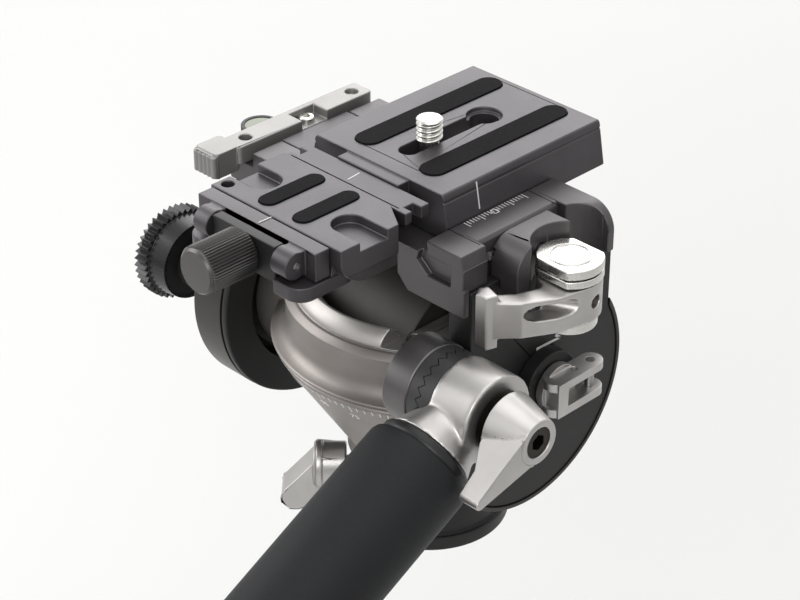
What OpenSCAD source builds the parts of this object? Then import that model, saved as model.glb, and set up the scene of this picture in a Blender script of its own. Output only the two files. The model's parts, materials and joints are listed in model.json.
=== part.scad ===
// Fluid video head: pan base, tilting platform with a sliding camera plate, and a pan handle.
// Millimetres. +X is the operator's right, +Y the viewing direction, +Z up.
// The origin is the centre of the tripod seat, on the pan axis.

/* [Base] */
// radius of the base foot
base_r = 20.5; // [17:0.5:24]
// radius of the base neck
neck_r = 19.5; // [16:0.5:22]
// height of the fixed base
base_h = 19.6; // [17:0.1:22]
// radius of the 3/8 inch tripod thread
tripod_r = 4.76; // [4.5:0.01:5]
// height of the base above its tripod thread
thread_web = 10.6; // [10:0.1:11.6]
// radius of the base plug that carries the thread
plug_r = 12; // [10:0.5:14]
// radius of the pan spindle
spindle_r = 7; // [5:0.5:8]
// depth of the pan-lock axis below the top of the base
lock_drop = 7.6; // [6.4:0.1:8.4]
// radius of the pan-lock knob
lock_r = 5.8; // [4:0.1:7]
// reach of the pan-lock wing from its axis
lock_reach = 19; // [12:1:26]

/* [Bowl] */
// gap under the turning bowl
seat_gap = 0.4; // [0.3:0.1:1]
// bowl radius at its foot
bowl_foot_r = 20.4; // [19.8:0.1:22]
// largest bowl radius
bowl_r = 38.8; // [37:0.1:39.4]
// height of the lip above the degree scale, from the underside of the bowl
seam_rise = 33.5; // [31:0.1:35]
// top of the raised rim above the underside of the bowl
rim_rise = 50.6; // [49:0.1:50.8]
// outer radius of the raised rim at its seam
rim_r = 33.6; // [32.6:0.1:34.2]
// flat cut on the right side
bowl_cut_x = 27.4; // [26:0.1:28]

/* [Tilt] */
// height of the tilt axis above the underside of the bowl
tilt_rise = 29.7; // [28:0.1:32]
// radius of the tilt shaft
shaft_r = 5; // [4:0.25:6]
// radius of the spring drum between the walls
drum_r = 25.9; // [22:0.1:27]
// left end of the spring drum
drum_x0 = -26; // [-30:0.5:-20]
// right end of the spring drum
drum_x1 = 14; // [10:0.5:18]
// inner face of the right side plate
side_x0 = 28; // [27.8:0.1:30]
// outer face of the right side plate
side_x1 = 35; // [33:0.5:38]
// radius of the right side plate
side_r = 29.2; // [27:0.1:31]
// width of the thin rim round the right side plate
side_rim = 1; // [0.5:0.1:2]
// front edge of the right neck
side_front = 25.6; // [22:0.1:28]
// rear edge of the right neck
side_rear = -22.5; // [-26:0.5:-18]
// inner face of the left drum
left_x1 = -39.9; // [-40.6:0.1:-39.7]
// outer face of the left drum
left_x0 = -52; // [-54:0.1:-51]
// radius of the left drum
left_r = 31.2; // [30:0.1:31.6]
// half width of the left neck
left_neck = 17; // [12:0.5:22]

/* [Dial] */
// dial axis behind the tilt axis
dial_y = -18.5; // [-22:0.5:-10]
// height of the dial axis above the tilt axis
dial_rise = 1.8; // [-4:0.1:6]
// radius of the serrated dial rim
dial_r = 12.6; // [10:0.1:15]
// outer end of the dial
dial_x0 = -76; // [-82:0.5:-72]
// inner end of the dial
dial_x1 = -66.5; // [-70:0.5:-62]
// number of teeth on the dial rim
dial_teeth = 40; // [24:1:60]

/* [Platform] */
// underside of the platform above the tilt axis
deck_rise = 37.3; // [36:0.1:40]
// thickness of the platform under the plate channel
deck_t = 6; // [5.5:0.1:8]
// height of the clamp jaws above the channel
jaw_h = 3.5; // [3:0.1:5]
// rear edge of the platform
deck_rear = -24.3; // [-28:0.5:-20]
// front edge of the platform
deck_front = 17.7; // [16:0.1:19]
// left edge of the platform
deck_left = -44; // [-46:0.5:-38]
// outer edge of the scale jaw
jaw_x1 = 31.4; // [30.6:0.1:31.6]
// depth of the rear block below the platform
block_drop = 6; // [4:0.1:6.2]
// outer edge of the front bracket
bracket_x = 42; // [38:0.5:44]
// radius of the bracket corner
bracket_r = 6.5; // [4:0.1:7]

/* [Camera plate] */
// height of the camera plate above the channel
plate_h = 11.5; // [10.5:0.1:14]
// half width of the plate top
plate_half = 20.9; // [18:0.1:24]
// half width of the plate underside
plate_foot = 22.9; // [20:0.1:26]
// front end of the plate
plate_front = 35.7; // [30:0.1:45]
// rear end of the plate shoulders
plate_rear = -17.3; // [-20:0.1:-12]
// half width of the rear tongue
tongue_half = 10; // [6:0.5:14]
// rear end of the tongue
tongue_rear = -20.6; // [-22:0.1:-18]
// spacing of the rubber strips from the middle
pad_x = 10.6; // [8:0.1:13]
// width of the rubber strips
pad_w = 6.6; // [4:0.1:8]
// rubber strip proud of the plate
pad_proud = 0.35; // [0.1:0.05:0.8]
// width of the screw slot
slot_w = 4.8; // [4.6:0.1:6]
// radius of the hole that passes the thread
key_r = 3.5; // [3.3:0.1:4.5]
// place of that hole
key_y = 18; // [12:0.5:22]
// rear end of the screw slot
slot_rear = -9.6; // [-12:0.1:-4]

/* [Rear clamp] */
// rear edge of the cross bridge
bridge_rear = -28.1; // [-30:0.1:-25]
// top of the cross bridge below the plate top
bridge_drop = 0.9; // [0.5:0.1:2.5]
// rear edge of the rear plate
rear_y = -50.3; // [-54:0.1:-46]
// near end of the rear plate
rear_x1 = 22.8; // [18:0.1:23]
// far end of the rear plate
rear_x0 = -20; // [-23:0.1:-17]
// top of the rear plate below the plate top
rear_drop = 0.3; // [0:0.1:1.5]
// radius of the half-round recesses
recess_r = 8.2; // [5:0.1:10]
// rear edge of the tray lip
lip_y = -60; // [-64:0.5:-57]
// height of the tray lip above the channel
lip_h = 3.8; // [2.5:0.1:4.2]
// knob axis, sideways
knob_x = 0.8; // [-4:0.1:4]
// height of the knob axis above the channel
knob_rise = 6.3; // [5.8:0.1:7]
// knob radius
knob_r = 5.8; // [4:0.1:8]
// inner end of the knob
knob_y1 = -59.2; // [-60.4:0.1:-59.2]
// outer end of the knob
knob_y0 = -72.8; // [-80:0.1:-66]
// number of knurl grooves
knob_grooves = 36; // [20:1:48]

/* [Clamp lever] */
// lever pivot, sideways
lever_x = 45; // [43:0.5:48]
// lever pivot, fore and aft
lever_y = -1; // [-4:0.5:4]
// radius of the lever hub
lever_r = 7.6; // [6:0.1:8]
// underside of the lever arm below the platform
lever_drop = 8.5; // [7.5:0.1:10]
// height of the lever arm
lever_t = 9.2; // [8:0.1:9.4]
// radius of the chrome cap
cap_r = 7.8; // [6:0.1:9]
// height of the chrome cap above the lever arm
cap_h = 4.9; // [3.8:0.1:6]

/* [Release bar] */
// inner edge of the bar
bar_x1 = -37.2; // [-40:0.1:-36]
// outer edge of the bar
bar_x0 = -44; // [-48:0.1:-42]
// rear end of the bar
bar_y0 = -33.4; // [-36:0.1:-31]
// front end of the bar
bar_y1 = 17; // [10:0.5:24]
// gap between the bar and the platform
bar_gap = 0.6; // [0.4:0.1:1]
// thickness of the bar
bar_t = 4.6; // [3.6:0.1:6]

/* [Handle] */
// hub axis behind the tilt axis
hub_y = -33; // [-34:0.1:-31]
// height of the hub axis above the tilt axis
hub_rise = 17.8; // [16:0.1:20]
// hub radius
hub_r = 10.6; // [8:0.1:12]
// middle plane of the handle
handle_x = 47.8; // [46:0.1:50]
// middle of the grip
grip_x = 45; // [44.6:0.1:47]
// handle angle below level
handle_drop = 27.8; // [0:0.1:45]
// radius of the grip
grip_r = 13; // [11:0.1:13.4]
// distance from the hub axis to the grip
grip_start = 14.2; // [13.6:0.1:15]
// distance from the hub axis to the handle end
handle_len = 205; // [150:5:320]
// number of rosette teeth
rosette_teeth = 24; // [18:1:36]
// height of the rosette teeth
rosette_h = 0.8; // [0.4:0.1:1.2]
// wing reach from the hub axis
wing_reach = 20.5; // [18:0.5:32]
// wing angle below level
wing_drop = 24; // [0:1:60]

/* [Hidden] */
// heights, from the base upwards
bowl_z0 = base_h + seat_gap;
lock_z = base_h - lock_drop;
tripod_depth = base_h - thread_web;
seam_z = bowl_z0 + seam_rise;
rim_z = bowl_z0 + rim_rise;
tilt_z = bowl_z0 + tilt_rise;
dial_z = tilt_z + dial_rise;
hub_z = tilt_z + hub_rise;
deck_z0 = tilt_z + deck_rise;
floor_z = deck_z0 + deck_t;
jaw_z = floor_z + jaw_h;
block_z0 = deck_z0 - block_drop;
plate_top = floor_z + plate_h;
bridge_top = plate_top - bridge_drop;
rear_top = plate_top - rear_drop;
lip_z = floor_z + lip_h;
knob_z = floor_z + knob_rise;
lever_z0 = deck_z0 - lever_drop;
lever_z1 = lever_z0 + lever_t;
cap_z1 = lever_z1 + cap_h;
bar_z0 = floor_z + bar_gap;
bar_z1 = bar_z0 + bar_t;
// height of the draw bar that pulls the left jaw
draw_z = floor_z - 3;
// radius of the draw bar, and of its bore
draw_r = 1.8;
draw_bore = draw_r + 0.05;
// left end of the draw bar
draw_x0 = -33.2;
// axis of the tilt lock, fore and aft and height
tlock_y = 1.5;
tlock_z = tilt_z + 4.3;
// middle plane of the tilt lock's fork, and half its height
tlock_x = side_x1 + 7.7;
tlock_h = 4.6;
// cross pin of the tilt lock, behind its axis, and its radius
tpin_y = tlock_y + 8.9;
tpin_r = 1.1;
// height of the tilt lock's boss
tboss_h = 4;
// axis of the rear clamp's lugs, fore and aft and height
lug_y = -57.4;
lug_z = floor_z + 7.9;
// radius of the lugs' pins
lug_pin_r = 0.8;
// radius of the studs that carry the small knobs, and of their bores
stud_r = 2.45;
stud_bore = stud_r + 0.1;
// radius of the handle stud, and of its free bore
hstud_r = 4;
hstud_bore = hstud_r + 0.2;
// inner face of the wing lever, and its height
wing_x = handle_x + 8.4;
wing_h = 9.8;
// half width of the handle hub
hub_half = 5.8;
// inner radius of the grip, which is the radius of its tube
tube_r = 7.4;
tube_start = 10.4;
// small screws that hold the platform to the two sides: radii and places
screw_r = 1.5;
head_r = 2.7;
head_h = 2.2;
right_screw_x = side_x0 + 1.6;
right_screw_y = [-12, 7];
left_screw_x = left_x0 + 3.5;
left_screw_y = [3, 12];
// screws in the bowl's flat rim
rim_screw_x = drum_x1 + 2.5;
rim_screw_y = [-21.6, 21.6];
// flat step beside the raised rim, and the trench between the rim and the spring drum
step_z = rim_z - 3.8;
trench_z = step_z - 8;
trench_r = rim_r - 6.6;
rim_screw_r = 2;
// drag discs of the pan axis: outer and inner radius, and depth of their groove
pan_disc_r = neck_r - 2.9;
pan_disc_in = 10.5;
pan_groove = 4;
// foot of the base, pan bushing and spindle flange
foot_h = 4;
bushing_r = spindle_r + 2;
bushing_z0 = base_h - 5.1;
flange_z0 = base_h - 7;
// radius of the pan-lock stud
lock_stud_r = 2.3;
// bosses of the tilt axis, bushings and drag discs
boss_r = 11;
big_boss_r = 19.3;
// left face of the fixed drag ring
drag_x = left_x0 + 5.8;
tbush_r = shaft_r + 3;
disc_r = left_r - 8.9;
// bore of the spring drum, and thickness of the spring strip
drum_bore = drum_r - 4.9;
strip_t = 0.9;
// pivot of the release bar, its radius, and the second hole of the bar
pivot_x = (bar_x0 + bar_x1) / 2;
pivot_y = bar_y1 - 4;
pivot_r = 1.6;
bar_hole_y = bar_y0 + 11.4;
// bubble level: place and radius
level_x = left_x0 + 1.6;
level_y = -8.5;
level_r = 4;
level_h = 6;
// ends of the scale jaw and of the moving left jaw
jaw_rear = -16.3;
jaw_front = 10;
slide_rear = -14.6;
slide_front = 7;
// thickness of the left cover
cover_h = 5;
// half width of the cross bridge
bridge_half = 20;
// outer edge of the cam seat
seat_x1 = side_x1 + 5.4;
// camera screw: place, radius of its thread and of its neck, and the pocket for its head
screw_y = -0.5;
camera_r = 3.17;
neck_screw_r = 2.3;
pocket_z = floor_z + 4.8;
pocket_half = 7;
// rubber strips of the plate and of the rear plate
pad_rear = -13;
pad_front = 34;
rear_pad_x = [-5.2, 6];
rear_pad_y = [-48.2, -29.8];
rear_pad_w = 4.8;
pad_depth = 1;
// fore and aft place of the recesses in the rear plate
recess_y = -40.4;
// well past every piece, for cuts that go right through
far = 300;
// smallest gap between moving pieces
gap = 0.3;
// running fit on shafts
fit = 0.04;
// roundness of large turned pieces
$fn = 96;
plate_z0 = floor_z + gap;
rise = plate_top - plate_z0;
flare = (plate_foot - plate_half) / rise;
rosette_x = side_x1 + 0.5;

// a round bar along X
module xcyl(r, x0, x1, y, z) {
  translate([x0, y, z]) rotate([0, 90, 0]) cylinder(r = r, h = x1 - x0);
}

// a round bar along Y
module ycyl(r, y0, y1, x, z) {
  translate([x, y0, z]) rotate([-90, 0, 0]) cylinder(r = r, h = y1 - y0);
}

// a round bar along Z
module zcyl(r, z0, z1, x, y) {
  translate([x, y, z0]) cylinder(r = r, h = z1 - z0);
}

// a box between two corners
module box(x0, x1, y0, y1, z0, z1) {
  translate([x0, y0, z0]) cube([x1 - x0, y1 - y0, z1 - z0]);
}

// a flat shape drawn in Y and Z, given thickness along X
module yz(x0, x1) {
  translate([x0, 0, 0]) rotate([90, 0, 90]) linear_extrude(height = x1 - x0) children();
}

// a flat shape drawn in X and Z, given thickness along Y
module xz(y0, y1) {
  translate([0, y1, 0]) rotate([90, 0, 0]) linear_extrude(height = y1 - y0) children();
}

// a slot along Y, seen from above
module slot2(x, y0, y1, w) {
  translate([x - w / 2, y0 + w / 2]) square([w, y1 - y0 - w]);
  translate([x, y0 + w / 2]) circle(r = w / 2);
  translate([x, y1 - w / 2]) circle(r = w / 2);
}

// a rectangle with round corners
module round2(x0, x1, y0, y1, r) {
  translate([x0 + r, y0]) square([x1 - x0 - 2 * r, y1 - y0]);
  translate([x0, y0 + r]) square([x1 - x0, y1 - y0 - 2 * r]);
  for (x = [x0 + r, x1 - r], y = [y0 + r, y1 - r]) translate([x, y]) circle(r = r);
}

// two circles joined by their outer tangents, the second at distance d along the first axis
module tear2(r1, r2, d) {
  a = acos((r1 - r2) / d);
  circle(r = r1);
  translate([d, 0]) circle(r = r2);
  polygon([[r1 * cos(a), r1 * sin(a)], [d + r2 * cos(a), r2 * sin(a)],
    [d + r2 * cos(a), -r2 * sin(a)], [r1 * cos(a), -r1 * sin(a)]]);
}

// a disc with n pointed teeth
module teeth2(r, depth, n) {
  polygon([for (i = [0 : 2 * n - 1]) let (q = i % 2 == 0 ? r : r - depth, a = i * 180 / n)
    [q * cos(a), q * sin(a)]]);
}

// half width of the camera plate at a height
function half_at(z) = plate_half + flare * (plate_top - z);

// outline of the right side plate
module side2() {
  translate([0, tilt_z]) circle(r = side_r);
  translate([side_rear, tilt_z]) square([side_front - side_rear, deck_z0 - tilt_z]);
}

// frame of the pan lock: its axis points out to the rear left
module lock_frame() {
  rotate([0, 0, -45]) children();
}

module base_body() {
  color("DimGray") difference() {
    union() {
      zcyl(base_r, 0, foot_h, 0, 0);
      zcyl(neck_r, foot_h, base_h, 0, 0);
    }
    zcyl(plug_r, -1, tripod_depth, 0, 0);
    zcyl(bushing_r, tripod_depth - 1, base_h + 1, 0, 0);
    difference() {
      zcyl(pan_disc_r + 0.4, base_h - pan_groove, base_h + 1, 0, 0);
      zcyl(pan_disc_in, base_h - pan_groove - 1, base_h + 2, 0, 0);
    }
    lock_frame() ycyl(lock_stud_r + 0.1, -neck_r - 2.5, -8, 0, lock_z);
  }
}

module base_plug() {
  color("Silver") difference() {
    zcyl(plug_r, 0, tripod_depth, 0, 0);
    zcyl(tripod_r, -1, tripod_depth + 1, 0, 0);
  }
}

module pan_bushing() {
  color("Goldenrod") difference() {
    zcyl(bushing_r, bushing_z0, base_h, 0, 0);
    zcyl(spindle_r + fit, bushing_z0 - 1, base_h + 1, 0, 0);
  }
}

module pan_drag_stator() {
  color("Peru") difference() {
    zcyl(pan_disc_r, base_h - pan_groove, base_h - 2.2, 0, 0);
    zcyl(pan_disc_in, base_h - pan_groove - 1, base_h, 0, 0);
  }
}

module pan_lock_knob() {
  color("Silver") lock_frame() difference() {
    union() {
      ycyl(lock_r, -base_r - 8.5, -base_r - gap, 0, lock_z);
      ycyl(lock_r + 0.4, -base_r - 7.9, -base_r - 6.3, 0, lock_z);
      yz(-4.2, 4.2) translate([-base_r - 5.1, lock_z - 0.6]) rotate(-138) tear2(4.8, 3.6, lock_reach - 8);
    }
    ycyl(lock_stud_r, -base_r - 3.5, -base_r + 0.5, 0, lock_z);
  }
}

module pan_lock_stud() {
  color("Gray") lock_frame() ycyl(lock_stud_r, -base_r - 3.5, -9.6, 0, lock_z);
}

module bowl() {
  color("LightSlateGray") difference() {
    union() {
      rotate_extrude() polygon([[0, bowl_z0], [bowl_foot_r, bowl_z0], [bowl_foot_r, bowl_z0 + 4.2],
        [bowl_r - 0.6, seam_z - 1.4], [bowl_r - 1.2, seam_z - 1], [bowl_r - 1.2, seam_z - 0.4],
        [bowl_r, seam_z], [bowl_r, seam_z + 0.6], [bowl_r - 0.5, seam_z + 0.8], [bowl_r - 1.8, seam_z + 1.4],
        [bowl_r - 2.9, seam_z + 2.5], [bowl_r - 3.6, seam_z + 4.1], [bowl_r - 3.9, seam_z + 5.9],
        [bowl_r - 3.9, seam_z + 7.7], [bowl_r - 3.7, seam_z + 9.5], [bowl_r - 3.4, seam_z + 11],
        [bowl_r - 3.5, seam_z + 11.4], [rim_r + 0.2, step_z - 0.5], [rim_r - 0.5, step_z - 0.5],
        [rim_r - 0.5, step_z - 0.1], [rim_r - 0.2, step_z], [rim_r - 0.7, step_z + 1.4],
        [rim_r - 1.7, step_z + 2.7], [rim_r - 3.1, rim_z], [0, rim_z]]);
      xcyl(big_boss_r, left_x1 - 2.4, drum_x0, 0, tilt_z);
      xcyl(boss_r, drag_x - 0.1, -34, 0, tilt_z);
    }
    xcyl(drum_r, drum_x0, drum_x1, 0, tilt_z);
    box(bowl_cut_x, far, -far, far, 0, far);
    box(drum_x1, far, -far, far, step_z, far);
    intersection() {
      box(drum_x0, drum_x1, -far, far, 0, far);
      rotate_extrude() polygon([[0, trench_z], [trench_r - 3, trench_z], [trench_r, step_z],
        [rim_r - 3.4, rim_z], [rim_r - 3.4, rim_z + 1], [0, rim_z + 1]]);
    }
    xcyl(tbush_r, -far, drum_x0 + 1, 0, tilt_z);
    xcyl(tbush_r, drum_x1 - 1, far, 0, tilt_z);
    zcyl(spindle_r, bowl_z0 - 1, bowl_z0 + 2.5, 0, 0);
    for (y = rim_screw_y) zcyl(rim_screw_r, step_z - 7, step_z + 1, rim_screw_x, y);
  }
}

module pan_spindle() {
  color("Silver") {
    zcyl(spindle_r, flange_z0, bowl_z0 + 2.5, 0, 0);
    zcyl(bushing_r - 0.4, flange_z0, flange_z0 + 1.4, 0, 0);
  }
}

module pan_drag_rotor() {
  color("Peru") difference() {
    zcyl(pan_disc_r, base_h - 1.8, bowl_z0, 0, 0);
    zcyl(pan_disc_in + 0.4, base_h - 3, bowl_z0 + 1, 0, 0);
  }
}

module tilt_bushings() {
  color("Goldenrod") difference() {
    union() {
      xcyl(tbush_r, drag_x - 0.1, drum_x0, 0, tilt_z);
      xcyl(tbush_r, drum_x1, bowl_cut_x, 0, tilt_z);
    }
    xcyl(shaft_r + fit, -far, far, 0, tilt_z);
  }
}

module spring_drum() {
  color([0.15, 0.15, 0.16]) difference() {
    xcyl(drum_r, drum_x0, drum_x1, 0, tilt_z);
    xcyl(drum_bore, drum_x0 + 6, drum_x1 - 6, 0, tilt_z);
    xcyl(shaft_r + 0.5, -far, far, 0, tilt_z);
  }
}

// a flat spiral strip, its outer end on the drum wall
module counter_spring() {
  turns = 5;
  n = 24 * turns;
  r0 = shaft_r + 2;
  pitch = (drum_bore - strip_t - r0) / turns;
  color("SteelBlue") yz(drum_x0 + 8, drum_x1 - 8) translate([0, tilt_z]) polygon(concat(
    [for (i = [0 : n]) let (r = r0 + pitch * i / 24, a = i * 15) [r * cos(a), r * sin(a)]],
    [for (j = [0 : n]) let (i = n - j, r = r0 + strip_t + pitch * i / 24, a = i * 15)
      [r * cos(a), r * sin(a)]]));
}

module tilt_drag_stator() {
  color("Peru") difference() {
    xcyl(disc_r - 2, drag_x, drag_x + 1.2, 0, tilt_z);
    xcyl(boss_r, drag_x - 0.8, drag_x + 2.2, 0, tilt_z);
  }
}

module rim_screws() {
  color("Black") for (y = rim_screw_y) difference() {
    zcyl(rim_screw_r, step_z - 7, step_z - 1.2, rim_screw_x, y);
    translate([rim_screw_x, y, step_z - 3.2]) cylinder(r = 1.2, h = 3, $fn = 6);
  }
}

module tilt_shaft() {
  color("Silver") xcyl(shaft_r, left_x0 + 1, side_x1 - 1, 0, tilt_z);
}

module right_side() {
  color([0.1, 0.1, 0.11]) difference() {
    yz(side_x0, side_x1) side2();
    xcyl(shaft_r, side_x0 - 1, side_x1 - 1, 0, tilt_z);
    for (y = right_screw_y) zcyl(screw_r, deck_z0 - 7, deck_z0 + 1, right_screw_x, y);
    xcyl(stud_bore, side_x1 - 0.8, side_x1 + 1, tlock_y, tlock_z);
  }
}

module right_rim() {
  color("Gray") difference() {
    yz(side_x0, side_x1 + 0.3) difference() {
      translate([0, tilt_z]) circle(r = side_r + side_rim);
      translate([0, tilt_z]) circle(r = side_r);
      translate([side_rear, tilt_z]) square([side_front - side_rear, far]);
    }
    xcyl(hub_r, side_x0 - 1, side_x1 + 2, hub_y, hub_z);
  }
}

module left_drum() {
  color([0.1, 0.1, 0.11]) difference() {
    union() {
      xcyl(left_r, left_x1 - 2, left_x1, 0, tilt_z);
      xcyl(left_r - 1.4, left_x0, left_x1 - 2, 0, tilt_z);
      box(left_x0 + 1, left_x1 - 2, -left_neck, left_neck, tilt_z, deck_z0);
    }
    xcyl(disc_r, left_x0 + 2, left_x1 + 1, 0, tilt_z);
    xcyl(shaft_r, left_x0 + 1, left_x1, 0, tilt_z);
    for (y = left_screw_y) zcyl(screw_r, deck_z0 - 5, deck_z0 + 1, left_screw_x, y);
  }
}

module left_rim() {
  color("Gray") difference() {
    xcyl(left_r + 0.1, left_x0, left_x1 - 2.3, 0, tilt_z);
    xcyl(left_r - 1.4, left_x0 - 1, left_x1, 0, tilt_z);
    box(-far, 0, -left_neck, left_neck, tilt_z, far);
  }
}

module left_cover() {
  color([0.2, 0.2, 0.21]) difference() {
    union() {
      xcyl(disc_r - 2, left_x0 - cover_h, left_x0, 0, tilt_z);
      xcyl(6.5, dial_x1 + gap, left_x0, dial_y, dial_z);
    }
    xcyl(stud_bore - 0.05, dial_x1, left_x0 - 6, dial_y, dial_z);
  }
}

module tilt_drag_rotor() {
  color("Peru") difference() {
    xcyl(disc_r, left_x0 + 2, left_x0 + 3.6, 0, tilt_z);
    xcyl(boss_r + 1.5, left_x0 + 1, left_x0 + 5, 0, tilt_z);
  }
}

module platform() {
  color([0.32, 0.31, 0.33]) difference() {
    union() {
      box(deck_left, jaw_x1 + 0.1, deck_rear, deck_front, deck_z0, floor_z);
      box(left_x0 - 3, deck_left, -left_neck, left_neck, deck_z0, deck_z0 + 1.4);
      xz(deck_rear, -19.5) polygon([[13.4, deck_z0 + 1], [13.4, block_z0 + 3.4], [16.8, block_z0],
        [side_x0 - 0.2, block_z0], [side_x0 - 0.2, deck_z0 + 1]]);
      box(side_x0 - 0.3, side_x1 - 0.4, deck_rear, side_rear, block_z0, deck_z0 + 1);
      box(20, side_x1 - 0.8, deck_rear, jaw_rear, deck_z0, floor_z);
      xz(deck_rear, jaw_rear) polygon([[half_at(floor_z) + gap, floor_z - 0.1], [side_x1 - 0.8,
        floor_z - 0.1],
        [side_x1 - 1.6, jaw_z], [half_at(jaw_z) + gap, jaw_z]]);
      for (y = [[deck_rear, slide_rear - gap], [slide_front + gap, deck_front]]) xz(y[0], y[1])
        polygon([[bar_x1 + 1.6, floor_z - 0.1], [-half_at(floor_z) - gap, floor_z - 0.1],
          [-half_at(jaw_z) - gap, jaw_z], [bar_x1 + 1.6, jaw_z]]);
      xz(jaw_front, deck_front)
        polygon([[half_at(floor_z) + gap, floor_z - 0.1], [jaw_x1 - 1.4, floor_z - 0.1],
        [jaw_x1 - 1.4, jaw_z], [half_at(jaw_z) + gap, jaw_z]]);
      xz(jaw_front, deck_front) bracket2();
    }
    box(side_x0, side_x1 + 0.05, side_rear, far, 0, deck_z0);
    zcyl(8.6, 0, far, bracket_x - 0.5, 7);
    xcyl(draw_bore, deck_left - 2, 40, lever_y, draw_z);
    box(draw_x0 - 2, draw_x0 + 3.6, lever_y - 4, lever_y + 4, deck_z0 - 1, floor_z + 1);
    xz(deck_rear - 1, deck_rear + 1.6) polygon([[20.4, floor_z], [30.4, floor_z], [30.2, floor_z - 5.4],
      [23, floor_z - 5.4], [19.6, floor_z - 2.6]]);
    zcyl(pivot_r, deck_z0 - 1, floor_z + 1, pivot_x, pivot_y);
    for (y = right_screw_y) zcyl(screw_r, deck_z0 - 1, floor_z + 1, right_screw_x, y);
    for (y = right_screw_y) zcyl(head_r, floor_z - head_h, floor_z + 1, right_screw_x, y);
    for (y = left_screw_y) zcyl(screw_r, deck_z0 - 1, floor_z, left_screw_x, y);
  }
}

// outline of the front bracket, seen from the front
module bracket2() {
  translate([29, deck_z0 - 2]) square([bracket_x - 29 - bracket_r, jaw_z - deck_z0 + 2]);
  translate([29, deck_z0 - 2]) square([bracket_x - 29, jaw_z - deck_z0 + 2 - bracket_r]);
  translate([bracket_x - bracket_r, jaw_z - bracket_r]) circle(r = bracket_r);
}

module scale_jaw() {
  color([0.36, 0.35, 0.37]) xz(jaw_rear, jaw_front)
    polygon([[half_at(floor_z) + gap, floor_z], [jaw_x1, floor_z],
    [jaw_x1, jaw_z - 0.8], [jaw_x1 - 0.8, jaw_z], [half_at(jaw_z) + gap, jaw_z]]);
}

module cam_seat() {
  color([0.2, 0.2, 0.21]) difference() {
    yz(jaw_x1 + 0.1, seat_x1) seat2();
    box(0, side_x1 + 0.05, -far, far, 0, deck_z0);
    zcyl(cap_r + 1.2, 0, far, lever_x, lever_y);
    xcyl(draw_bore, 0, far, lever_y, draw_z);
    for (y = right_screw_y) zcyl(head_r + 0.1, 0, floor_z + gap, right_screw_x, y);
  }
}

// outline of the cam seat, seen from the side, its rear end rounded
module seat2() {
  translate([-6.8, deck_z0 - 2.6]) square([12.6, jaw_z - 0.3 - deck_z0 + 2.6]);
  translate([-6.8, jaw_z - 6.8]) circle(r = 6.5);
  translate([-13.3, deck_z0 - 2.6]) square([7, jaw_z - 6.8 - deck_z0 + 2.6]);
}

module deck_screws() {
  color("Black") {
    for (y = right_screw_y) {
      zcyl(screw_r, deck_z0 - 7, floor_z - head_h, right_screw_x, y);
      zcyl(head_r, floor_z - head_h, floor_z, right_screw_x, y);
    }
    for (y = left_screw_y) {
      zcyl(screw_r, deck_z0 - 5, deck_z0 + 1.4, left_screw_x, y);
      zcyl(head_r - 0.1, deck_z0 + 1.4, deck_z0 + 2.8, left_screw_x, y);
    }
  }
}

module level_cup() {
  color([0.2, 0.2, 0.21]) difference() {
    zcyl(level_r + 1, deck_z0 + 1.4, deck_z0 + level_h + 0.2, level_x, level_y);
    zcyl(level_r, deck_z0 + 2.6, deck_z0 + level_h + 1, level_x, level_y);
  }
}

module level_vial() {
  color("YellowGreen") zcyl(level_r, deck_z0 + 2.6, deck_z0 + level_h, level_x, level_y);
}

module tilt_lock_boss() {
  color([0.1, 0.1, 0.11]) difference() {
    xcyl(8.4, side_x1, side_x1 + tboss_h, tlock_y, tlock_z);
    xcyl(stud_bore, side_x1 - 1, side_x1 + tboss_h + 1, tlock_y, tlock_z);
  }
}

module handle_mount() {
  color([0.3, 0.3, 0.31]) difference() {
    yz(side_x0, rosette_x) difference() {
      translate([hub_y, hub_z]) circle(r = hub_r);
      side2();
    }
    xcyl(hstud_r, side_x0 + 1, far, hub_y, hub_z);
  }
}

// a ring of pointed teeth on a face that looks along X
module crown(x, h, shift) {
  for (i = [0 : rosette_teeth - 1]) translate([x, hub_y, hub_z])
    rotate([(i + shift) * 360 / rosette_teeth, 0, 0]) translate([0, 0, hub_r - 4.2])
      linear_extrude(height = 3.6) polygon([[0, -1.15], [0, 1.15], [h, 0]]);
}

module fixed_rosette() {
  color([0.12, 0.12, 0.12]) {
    difference() {
      xcyl(hub_r - 0.3, rosette_x, rosette_x + 2.2, hub_y, hub_z);
      xcyl(hstud_r, rosette_x - 1, far, hub_y, hub_z);
    }
    crown(rosette_x + 2.2, rosette_h, 0);
  }
}

module handle_rosette() {
  color([0.12, 0.12, 0.12]) {
    difference() {
      xcyl(hub_r - 0.3, rosette_x + 2.4 + 2 * rosette_h, handle_x - hub_half, hub_y, hub_z);
      xcyl(hstud_bore, rosette_x - 1, far, hub_y, hub_z);
    }
    crown(rosette_x + 2.4 + 2 * rosette_h, -rosette_h, 0.5);
  }
}

module handle_stud() {
  color("Gray") xcyl(hstud_r, side_x0 + 1, wing_x + 2.8, hub_y, hub_z);
}

module drag_dial() {
  color([0.3, 0.3, 0.31]) {
    difference() {
      union() {
        yz(dial_x0, dial_x0 + 4.2) translate([dial_y, dial_z]) teeth2(dial_r, 1.3, dial_teeth);
        translate([dial_x0 + 4, dial_y, dial_z]) rotate([0, 90, 0])
          cylinder(r1 = dial_r - 1.5, r2 = dial_r - 2.2, h = dial_x1 - dial_x0 - 4);
      }
      xcyl(dial_r - 3, dial_x1 - 1.5, dial_x1 + 1, dial_y, dial_z);
    }
    xcyl(stud_r, dial_x1 - 3, left_x0 - 6.5, dial_y, dial_z);
  }
}

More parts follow.
